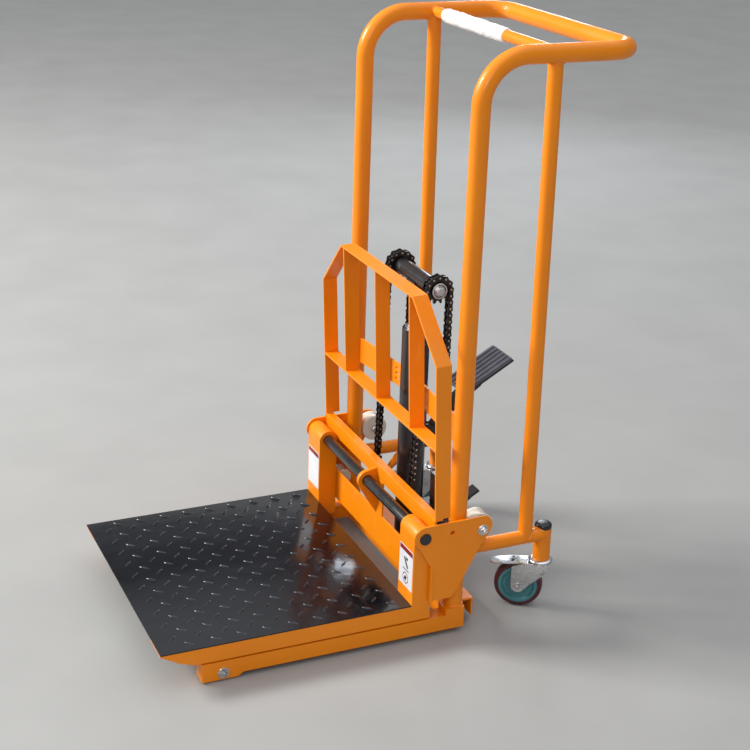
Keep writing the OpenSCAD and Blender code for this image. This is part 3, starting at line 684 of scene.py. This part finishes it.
for side, sign in (("left", -1), ("right", 1)):
    shape = caster_matrix(side)

    # pressed fork: round crown, two cheeks that narrow to the axle
    bm = bmesh.new()
    top = crown_high
    lathe(bm, [(0, top - 0.004), (race_r - 0.004, top - 0.004), (race_r - 0.0022, top - 0.0025),
               (race_r - 0.003, top), (0, top)], Vector((0, 0, 0)), Z, 48)
    cheek = arc(TRAIL, WHEEL_R, 0.0170, -140, -10, 12)
    cheek += [(TRAIL + 0.017, WHEEL_R + 0.006), (TRAIL + 0.017, top - 0.015),
              (TRAIL + 0.0155, top - 0.0125), (0.034, top - 0.001), (0.026, top), (-0.018, top),
              (-0.0215, top - 0.004), (-0.019, top - 0.014), (-0.008, WHEEL_R + 0.033),
              (TRAIL - 0.031, WHEEL_R + 0.009)]
    for face in (-1, 1):
        near, far = sorted((face * 0.0202, face * 0.0230))
        prism(bm, cheek, "y", near, far)
    web = [(0.024, -0.0215), (0.032, -0.017), (0.032, 0.017), (0.024, 0.0215), (-0.010, 0.0215),
           (-0.010, -0.0215)]
    prism(bm, web, "z", top - 0.0035, top - 0.0002)
    add_piece("caster_yoke_" + side, bm, MATERIALS["zinc"], "caster_" + side,
              ["caster_fork_" + side], 35, 0.0008, 2, shape)

    # wheel: tread, rim, recessed web and hub, with a ball-race shield
    bm = bmesh.new()
    R, half = WHEEL_R, 0.016
    tread = [(R - 0.0115, -half), (R - 0.006, -half), (R - 0.0022, -half + 0.0022),
             (R - 0.0004, -half + 0.0062), (R, 0), (R - 0.0004, half - 0.0062),
             (R - 0.0022, half - 0.0022), (R - 0.006, half), (R - 0.0115, half)]
    lathe(bm, tread, Vector((0, 0, 0)), Z, 72, 1)
    for face in (-1, 1):
        h = half * face
        core = [(R - 0.0115, h), (R - 0.0125, h + 0.0006 * face), (R - 0.0185, h + 0.0006 * face),
                (R - 0.0200, h - 0.0014 * face), (R - 0.0220, h - 0.0060 * face),
                (R - 0.0300, h - 0.0068 * face), (R - 0.0315, h - 0.0050 * face),
                (R - 0.0335, h - 0.0030 * face), (R - 0.0375, h - 0.0030 * face),
                (R - 0.0388, h - 0.0048 * face), (0.0165, h - 0.0048 * face),
                (0.0158, h + 0.0008 * face), (0.0148, h + 0.0016 * face), (0.0130, h + 0.0016 * face),
                (0.0122, h - 0.0004 * face)]
        lathe(bm, core, Vector((0, 0, 0)), Z, 72, 0)
        lathe(bm, [(0.0122, h - 0.0004 * face), (0.0075, h + 0.0002 * face), (0.0072, h + 0.0018 * face),
                   (0.0061, h + 0.0018 * face), (0.0061, 0)], Vector((0, 0, 0)), Z, 40, 2)
    turn = shape @ Matrix.Translation((TRAIL, 0, WHEEL_R)) @ Matrix.Rotation(math.radians(90), 4, "X")
    add_piece("wheel_" + side, bm, [MATERIALS["wheel_core"], TYRE, MATERIALS["zinc"]],
              "caster_wheel_" + side, ["caster_wheel_" + side], 32, 0, 2, turn)

    # axle bolt
    bm = bmesh.new()
    for face in (-1, 1):
        fastener(bm, Vector((TRAIL, face * 0.0232, WHEEL_R)), Y * face, 0.0130, 0.0052, 0.0090, 0.0012,
                 0.0040, 0.0030 if face > 0 else 0.0004)
    lathe(bm, [(0.0058, -0.0235), (0.0058, 0.0235)], Vector((TRAIL, 0, WHEEL_R)), Y, 32)
    add_piece("caster_bolt_" + side, bm, MATERIALS["zinc"], "caster_" + side,
              ["caster_axle_" + side], 30, 0, 2, shape)

    # brake pedal: dished plate with a long slot, hinged above the wheel
    pivot = place("brake_press_" + side)
    bm = bmesh.new()
    rows, cols = 26, 17
    grid = []
    for i in range(rows + 1):
        s = i / rows
        line = []
        for k in range(cols + 1):
            w = -1 + 2 * k / cols
            half = 0.0185 + 0.0035 * math.sin(math.pi * min(1, s * 1.15))
            if s > 0.8:
                half *= math.sqrt(max(0.0, 1 - ((s - 0.8) / 0.205) ** 2)) * 0.55 + 0.45
            u = -0.003 + 0.092 * s
            dish = -0.0024 * abs(w) ** 3 + 0.0010 * math.sin(s * math.pi * 3) * (1 - w * w)
            line.append((u, w * half, dish))
        grid.append(line)
    slot_rows, slot_cols = range(9, 11), range(3, cols - 3)
    layers = []
    for rise in (0.0012, -0.0012):
        layers.append([[bm.verts.new((u, v, w + rise)) for u, v, w in line] for line in grid])
    for i in range(rows):
        for k in range(cols):
            if i not in slot_rows or k not in slot_cols:
                for layer in layers:
                    bm.faces.new([layer[i][k], layer[i + 1][k], layer[i + 1][k + 1], layer[i][k + 1]])
    open_edges = [e for e in bm.edges if e.is_boundary]
    pairs = {}
    for up, down_line in zip(layers[0], layers[1]):
        for a, b in zip(up, down_line):
            pairs[a] = b
    for e in open_edges:
        a, b = e.verts
        if a in pairs and b in pairs:
            bm.faces.new([a, b, pairs[b], pairs[a]])
    for v in [v for v in bm.verts if not v.link_faces]:
        bm.verts.remove(v)
    tilt = Matrix.Translation((BRAKE_X, 0, pivot.z)) @ Matrix.Rotation(BRAKE_TILT, 4, "Y")
    add_piece("brake_lever_" + side, bm, MATERIALS["zinc"], "brake_pedal_" + side,
              ["brake_pedal_" + side], 50, 0, 2, shape @ tilt)

# ball races under the sockets: two pressed rings with a dark gap
bm = bmesh.new()
for side in ("left", "right"):
    at = place("caster_swivel_" + side)
    at = Vector((at.x, at.y, race_low.z))
    h = race_high.z - race_low.z
    lathe(bm, [(0, h), (race_r - 0.0070, h), (race_r - 0.0040, h - 0.0008),
               (race_r - 0.0008, h - 0.0030), (race_r, h - 0.0042), (race_r - 0.0004, h - 0.0052),
               (race_r - 0.0030, h - 0.0054), (race_r - 0.0034, h - 0.0066),
               (race_r - 0.0008, h - 0.0070), (race_r - 0.0006, h - 0.0084), (race_r - 0.0030, 0.0004),
               (race_r - 0.0090, 0.0003), (race_r - 0.0110, 0.005), (0, 0.005)], at, Z, 64)
add_piece("ball_races", bm, MATERIALS["zinc"], "frame", ["caster_races"], 30)

# domed caps in the tops of the sockets
bm = bmesh.new()
cap_low, cap_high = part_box("socket_caps")
cap_r = (cap_high.y - cap_low.y) / 2
seat_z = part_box("caster_socket_right")[1].z
for side in ("left", "right"):
    at = place("caster_swivel_" + side)
    at = Vector((at.x, at.y, seat_z))
    rise = cap_high.z - seat_z
    lathe(bm, [(cap_r - 0.0045, -0.010), (cap_r - 0.0045, 0.0002), (cap_r - 0.0004, 0.0003),
               (cap_r, 0.0012), (cap_r, rise * 0.55), (cap_r - 0.0008, rise * 0.72),
               (cap_r - 0.0026, rise * 0.86), (cap_r - 0.0060, rise * 0.95), (cap_r - 0.0120, rise),
               (0, rise)], at, Z, 48)
add_piece("domed_caps", bm, MATERIALS["black_plastic"], "frame", ["socket_caps"], 40)

# ---------------------------------------------------------------- bolts on the carriage and the legs

plate_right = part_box("side_plate_right")
PLATE_T = 0.006
plate_out = plate_right[0].x + PLATE_T
bm = bmesh.new()
for sign in (-1, 1):
    upper = place("upper_roller_spin_right")
    fastener(bm, Vector((sign * (plate_out + 0.0001), upper.y, upper.z)), X * sign, 0.0190, 0.0070,
             0.0135, 0.0018, 0.0060, 0.0060, 0.1)
add_piece("roller_nuts", bm, MATERIALS["zinc"], "carriage", (), 30)

# Distance from the middle plane at which the roller axles start
AXLE_INNER = 0.2795
bm = bmesh.new()
for sign in (-1, 1):
    for which in ("upper", "lower"):
        at = place(f"{which}_roller_spin_right")
        inner = AXLE_INNER
        outer = plate_out if which == "upper" else plate_right[0].x - 0.0002
        lathe(bm, [(0, inner), (0.0066, inner), (0.0080, inner + 0.0012), (0.0080, outer), (0, outer)],
              Vector((0, at.y, at.z)), X * sign, 32)
        hexed = aim(Vector((sign * inner, at.y, at.z)), X * -sign)
        hex_part(bm, 0.0185, -0.0006, 0.0045, hexed)
add_piece("roller_bolts", bm, MATERIALS["zinc"], "carriage", ["roller_axles"], 30)

bm = bmesh.new()
leg_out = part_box("leg_right")[1].x
leg_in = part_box("leg_right")[0].x
for sign in (-1, 1):
    at = place("front_roller_spin_right")
    fastener(bm, Vector((sign * leg_out, at.y, at.z)), X * sign, 0.0150, 0.0042, 0.0138, 0.0014, 0.0040,
             0.0020)
    lathe(bm, [(0, leg_in - 0.003), (0.0052, leg_in - 0.003), (0.0058, leg_in - 0.002),
               (0.0058, leg_out), (0, leg_out)], Vector((0, at.y, at.z)), X * sign, 28)
    hex_part(bm, 0.0130, 0.0, 0.0036, aim(Vector((sign * leg_in, at.y, at.z)), X * -sign))
add_piece("front_axle_bolts", bm, MATERIALS["zinc"], "frame", ["front_axles"], 30)

# ---------------------------------------------------------------- foot pedal pad

pad_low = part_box("pedal_pad")[0]
PAD_ANGLE = math.radians(30)
PAD_LENGTH, PAD_HALF = 0.150, 0.050
pad_start = Vector((0, pad_low.y + 0.008 * math.sin(PAD_ANGLE), pad_low.z))
bm = bmesh.new()
base = (arc(-PAD_HALF + 0.006, 0.006, 0.006, 180, 270, 5)
        + arc(PAD_HALF - 0.006, 0.006, 0.006, 270, 360, 5))
base += (arc(PAD_HALF - 0.006, PAD_LENGTH - 0.006, 0.006, 0, 90, 5)
         + arc(-PAD_HALF + 0.006, PAD_LENGTH - 0.006, 0.006, 90, 180, 5))
prism(bm, base, "z", 0.0003, 0.0040)
rib_half = 0.0047
for i in range(6):
    cx = -0.0435 + i * 0.0174
    path = [Vector((cx, 0.0035 + (PAD_LENGTH - 0.007) * k / 12, 0.0042)) for k in range(13)]
    section = [(-rib_half, 0), (-rib_half, 0.0022), (-rib_half + 0.0012, 0.0036),
               (rib_half - 0.0012, 0.0036), (rib_half, 0.0022), (rib_half, 0)]
    rings = [[bm.verts.new((p.x + u, p.y, 0.0038 + v)) for u, v in section] for p in path]
    for a, b in zip(rings, rings[1:]):
        for k in range(len(section) - 1):
            bm.faces.new([a[k], a[k + 1], b[k + 1], b[k]])
    bm.faces.new(rings[0])
    bm.faces.new(rings[-1])
tilt = Matrix.Translation(pad_start) @ Matrix.Rotation(PAD_ANGLE, 4, "X")
add_piece("ribbed_pad", bm, MATERIALS["pedal_rubber"], "pump_pedal", ["pedal_pad"], 35,
          0.0006, 2, tilt)

# ---------------------------------------------------------------- labels on the fork shanks

lever = place("fork_fold")
SLEEVE_R = 0.024
SHANK_FRONT = lever.y - SLEEVE_R
# Heights of the labels above the floor, and half their width
LABEL_LOW, LABEL_HIGH = 0.128, 0.230
label_half = 0.0355


def label_box(bm, x0, x1, z0, z1, lift, index, thick=0.00025, corner_r=0.0):
    outline = [(x0, z0), (x1, z0), (x1, z1), (x0, z1)]
    if corner_r:
        outline = arc(x0 + corner_r, z0 + corner_r, corner_r, 180, 270, 4)
        outline += arc(x1 - corner_r, z0 + corner_r, corner_r, 270, 360, 4)
        outline += arc(x1 - corner_r, z1 - corner_r, corner_r, 0, 90, 4)
        outline += arc(x0 + corner_r, z1 - corner_r, corner_r, 90, 180, 4)
    prism(bm, outline, "y", SHANK_FRONT - lift - thick, SHANK_FRONT - lift, index)


def label_ring(bm, cx, cz, radius, width, lift, index):
    outer = arc(cx, cz, radius, 0, 345, 23)
    inner = arc(cx, cz, radius - width, 0, 345, 23)
    for k in range(24):
        m = (k + 1) % 24
        quad = [outer[k], outer[m], inner[m], inner[k]]
        prism(bm, quad, "y", SHANK_FRONT - lift - 0.0001, SHANK_FRONT - lift, index)


for side, sign in (("left", -1), ("right", 1)):
    low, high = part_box("fork_" + side)
    cx = (low.x + high.x) / 2
    bm = bmesh.new()
    label_box(bm, cx - label_half, cx + label_half, LABEL_LOW, LABEL_HIGH, 0.0002, 0, 0.0003, 0.002)
    label_box(bm, cx - label_half + 0.002, cx + label_half - 0.002, LABEL_HIGH - 0.014,
              LABEL_HIGH - 0.002, 0.0005, 1, 0.0001)
    if sign > 0:
        # two plain pictograms: a falling bar over a ground line, and a barred ring
        z = LABEL_LOW + 0.060
        slant = [(cx - 0.012, z + 0.012), (cx - 0.006, z + 0.016), (cx + 0.013, z - 0.008),
                 (cx + 0.007, z - 0.012)]
        prism(bm, slant, "y", SHANK_FRONT - 0.0006, SHANK_FRONT - 0.0005, 2)
        slant = [(cx - 0.002, z + 0.016), (cx + 0.010, z + 0.016), (cx + 0.010, z + 0.010),
                 (cx + 0.002, z + 0.009)]
        prism(bm, slant, "y", SHANK_FRONT - 0.0006, SHANK_FRONT - 0.0005, 2)
        label_box(bm, cx - 0.016, cx + 0.016, z - 0.018, z - 0.0155, 0.0005, 2, 0.0001)
        label_ring(bm, cx, LABEL_LOW + 0.022, 0.0145, 0.0026, 0.0005, 1)
        z = LABEL_LOW + 0.022
        slant = [(cx - 0.009, z - 0.004), (cx - 0.002, z + 0.007), (cx + 0.007, z + 0.004),
                 (cx + 0.001, z - 0.008)]
        prism(bm, slant, "y", SHANK_FRONT - 0.0006, SHANK_FRONT - 0.0005, 2)
    add_piece("shank_label_" + side, bm, [PAPER, RED_INK, BLACK_INK], "fork_" + side)

# ---------------------------------------------------------------- foam wrap on the cross brace

wrap_low, wrap_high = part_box("foam_wrap")
wrap_mid = middle("foam_wrap")
bm = bmesh.new()
rings = []
SIDES = 40
STEPS = 150
length = wrap_high.x - wrap_low.x
for i in range(STEPS + 1):
    t = i / STEPS
    px = wrap_low.x + length * t
    ends = min(1.0, min(t, 1 - t) / 0.03)
    ring = []
    for k in range(SIDES):
        a = 2 * math.pi * k / SIDES
        turn = (t * 7.5 + k / SIDES) % 1.0
        lap = 0.0011 * (1 - turn) ** 2
        crumple = noise.noise(Vector((px * 45, math.cos(a) * 1.3, math.sin(a) * 1.3))) * 0.0016
        crease = abs(noise.noise(Vector((px * 90 + 9, math.cos(a) * 2.2 + px * 30,
                                         math.sin(a) * 2.2)))) * -0.0014
        sag = 0.0010 * max(0.0, -math.sin(a))
        radius = 0.0142 + ends ** 0.5 * (0.0026 + lap + crumple + crease + sag)
        ring.append(bm.verts.new((px, wrap_mid.y + math.cos(a) * radius,
                                  wrap_mid.z + math.sin(a) * radius)))
    rings.append(ring)
for a, b in zip(rings, rings[1:]):
    for k in range(SIDES):
        m = (k + 1) % SIDES
        bm.faces.new([a[k], a[m], b[m], b[k]])
for ring, px in ((rings[0], wrap_low.x), (rings[-1], wrap_high.x)):
    inner = [bm.verts.new((px, wrap_mid.y + (v.co.y - wrap_mid.y) * 0.953,
                           wrap_mid.z + (v.co.z - wrap_mid.z) * 0.953)) for v in ring]
    for k in range(SIDES):
        m = (k + 1) % SIDES
        bm.faces.new([ring[k], ring[m], inner[m], inner[k]])
foam = add_piece("foam_sleeve", bm, MATERIALS["foam"], "frame", ["foam_wrap"], 70)

# ---------------------------------------------------------------- weld beads

bm = bmesh.new()


def saddle(centre, axis_r, arm_x, arm_z, arm_r, below=True, count=40):
    """Line where an upright tube meets a level tube that runs along Y"""
    points = []
    for i in range(count):
        a = 2 * math.pi * i / count
        px, py = centre.x + axis_r * math.cos(a), centre.y + axis_r * math.sin(a)
        side = min(abs(px - arm_x), arm_r * 0.995)
        drop = math.sqrt(arm_r ** 2 - side ** 2)
        points.append(Vector((px, py, arm_z - drop if below else arm_z + drop)))
    return points


# Mast posts: their distance from the middle plane and from the origin, and the tube radii
POST_X, MAST_Y = 0.3045, 0.164
POST_R, STRUT_R = 0.021, 0.017
BRACE_R = 0.0139
SOCKET_X, SOCKET_R = 0.288, 0.021
brace_mid = middle("cross_brace")
ARM_Z = brace_mid.z
for side, sign in (("left", -1), ("right", 1)):
    strut_low, strut_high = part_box("rear_strut_" + side)
    strut_x = (strut_low.x + strut_high.x) / 2
    post_x = sign * POST_X
    top = Vector((strut_x, strut_low.y + STRUT_R, 0))
    weld_bead(bm, saddle(top, STRUT_R + 0.0006, post_x, ARM_Z, POST_R + 0.0006), 0.0022)
    side_low, side_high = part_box("side_tube_" + side)
    side_z = (side_low.z + side_high.z) / 2
    foot = Vector((strut_x, strut_high.y - STRUT_R, 0))
    weld_bead(bm, saddle(foot, STRUT_R + 0.0004, strut_x, side_z, STRUT_R, False), 0.0024)
    # side tube into the post and into the socket
    for target_x, target_y, target_r, face in ((post_x, side_low.y, POST_R, 1),
                                               (sign * SOCKET_X, place("caster_swivel_right").y,
                                                SOCKET_R, -1)):
        line = []
        for k in range(36):
            a = 2 * math.pi * k / 36
            px = strut_x + (STRUT_R + 0.0004) * math.cos(a)
            pz = side_z + (STRUT_R + 0.0004) * math.sin(a)
            gap = min(abs(px - target_x), target_r * 0.995)
            depth = math.sqrt(target_r ** 2 - gap ** 2)
            py = (MAST_Y + depth) if face > 0 else target_y - depth
            line.append(Vector((px, py, pz)))
        weld_bead(bm, line, 0.0026)
    # post foot on the leg block
    block_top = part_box("handle_tube_" + side)[0].z
    weld_bead(bm, ring_points(Vector((post_x, MAST_Y, block_top + 0.0008)), Z, POST_R + 0.0006, 32),
              0.0026)
    # cross brace into the arms
    line = []
    for k in range(28):
        a = 2 * math.pi * k / 28
        pz = ARM_Z + BRACE_R * math.sin(a)
        reach = math.sqrt(POST_R ** 2 - (pz - ARM_Z) ** 2)
        line.append(Vector((sign * (POST_X - reach), brace_mid.y + BRACE_R * math.cos(a), pz)))
    weld_bead(bm, line, 0.0018)
add_piece("frame_welds", bm, WELD, "frame", (), 60)

bm = bmesh.new()
BEAM_WELD_TOP, LUG_WELD_LOW, LUG_WELD_TOP = 0.175, 0.186, 0.296
bar_low, bar_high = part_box("upper_crossbar")
rim_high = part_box("backrest_rim")[1]
beam_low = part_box("lower_crossbeam")[0]
for sign in (-1, 1):
    for offset in (0, -0.005):
        px = sign * (rim_high.x + offset)
        weld_bead(bm, [Vector((px, bar_low.y + 0.003, bar_high.z + 0.0004)),
                       Vector((px, bar_high.y - 0.003, bar_high.z + 0.0004))], 0.0016, False)
    px = sign * plate_right[0].x
    weld_bead(bm, [Vector((px - sign * 0.001, bar_low.y - 0.0004, bar_low.z + 0.006)),
                   Vector((px - sign * 0.001, bar_low.y - 0.0004, bar_high.z - 0.002))], 0.0018, False)
    weld_bead(bm, [Vector((px - sign * 0.001, bar_low.y - 0.0004, beam_low.z + 0.008)),
                   Vector((px - sign * 0.001, bar_low.y - 0.0004, BEAM_WELD_TOP))], 0.0018, False)
    weld_bead(bm, [Vector((sign * 0.0064, bar_low.y - 0.0004, LUG_WELD_LOW)),
                   Vector((sign * 0.0064, bar_low.y - 0.0004, LUG_WELD_TOP))], 0.0020, False)
add_piece("carriage_welds", bm, WELD, "carriage", (), 60)

# ---------------------------------------------------------------- floor, light and camera

bm = bmesh.new()
bmesh.ops.create_grid(bm, x_segments=2, y_segments=2, size=40)
mesh = bpy.data.meshes.new("floor")
bm.to_mesh(mesh)
bm.free()
floor = bpy.data.objects.new("floor", mesh)
scene.collection.objects.link(floor)
mat, tree, shader = new_material("pale_floor", (0.42, 0.42, 0.41), 0.85)
color = ramp(tree, tex_noise(tree, 3.0, 4.0),
             [(0.3, (0.322, 0.322, 0.316)), (0.7, (0.350, 0.350, 0.343))])
tree.links.new(color, shader.inputs["Base Color"])
mesh.materials.append(mat)
floor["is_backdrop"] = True

world = bpy.data.worlds.new("studio")
scene.world = world
world.use_nodes = True
tree = world.node_tree
coords = tree.nodes.new("ShaderNodeTexCoord")
split = tree.nodes.new("ShaderNodeSeparateXYZ")
tree.links.new(coords.outputs["Generated"], split.inputs["Vector"])
sky = ramp(tree, split.outputs["Z"], [(0.0, (0.40, 0.40, 0.40)), (0.08, (0.40, 0.40, 0.405)),
                                      (0.22, (0.17, 0.175, 0.19)), (0.50, (0.17, 0.175, 0.19)),
                                      (0.72, (0.75, 0.77, 0.80)), (1.0, (1.35, 1.37, 1.40))])
background = tree.nodes["Background"]
tree.links.new(sky, background.inputs["Color"])
background.inputs["Strength"].default_value = 1.0


def area_light(name, at, target, size, power, tint=(1, 1, 1)):
    data = bpy.data.lights.new(name, "AREA")
    data.shape = "RECTANGLE"
    data.size, data.size_y = size
    data.energy = power
    data.color = tint
    light = bpy.data.objects.new(name, data)
    light.location = at
    light.rotation_mode = "QUATERNION"
    light.rotation_quaternion = (Vector(target) - Vector(at)).to_track_quat("-Z", "Y")
    scene.collection.objects.link(light)


area_light("key", (-3.4, -5.6, 4.6), (0, 0, 0.5), (2.6, 2.0), 780, (1.0, 0.98, 0.94))
area_light("fill", (5.4, -3.4, 3.8), (0, 0, 0.6), (2.4, 2.0), 95, (1.0, 0.97, 0.93))
area_light("window", (-4.4, 2.9, 2.1), (0, 0.1, 0.2), (0.7, 1.5), 34, (0.84, 0.91, 1.0))

scene.view_settings.view_transform = "Standard"

# Focal length in mm, and the place of the camera in front of the near right corner
LENS = 73.14
CAMERA_AT = (3.102, -1.335, 1.897)
camera_data = bpy.data.cameras.new("camera")
camera_data.lens = LENS
camera_data.sensor_width = 36
camera = bpy.data.objects.new("camera", camera_data)
scene.collection.objects.link(camera)
right = Vector((0.4035, 0.9146, 0.0313))
up = Vector((-0.3493, 0.1223, 0.9289))
back = Vector((0.8457, -0.3858, 0.3688))
turn = Matrix((right, up, back)).transposed().to_4x4()
camera.matrix_world = Matrix.Translation(CAMERA_AT) @ turn
bpy.context.scene.camera = camera

low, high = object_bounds()
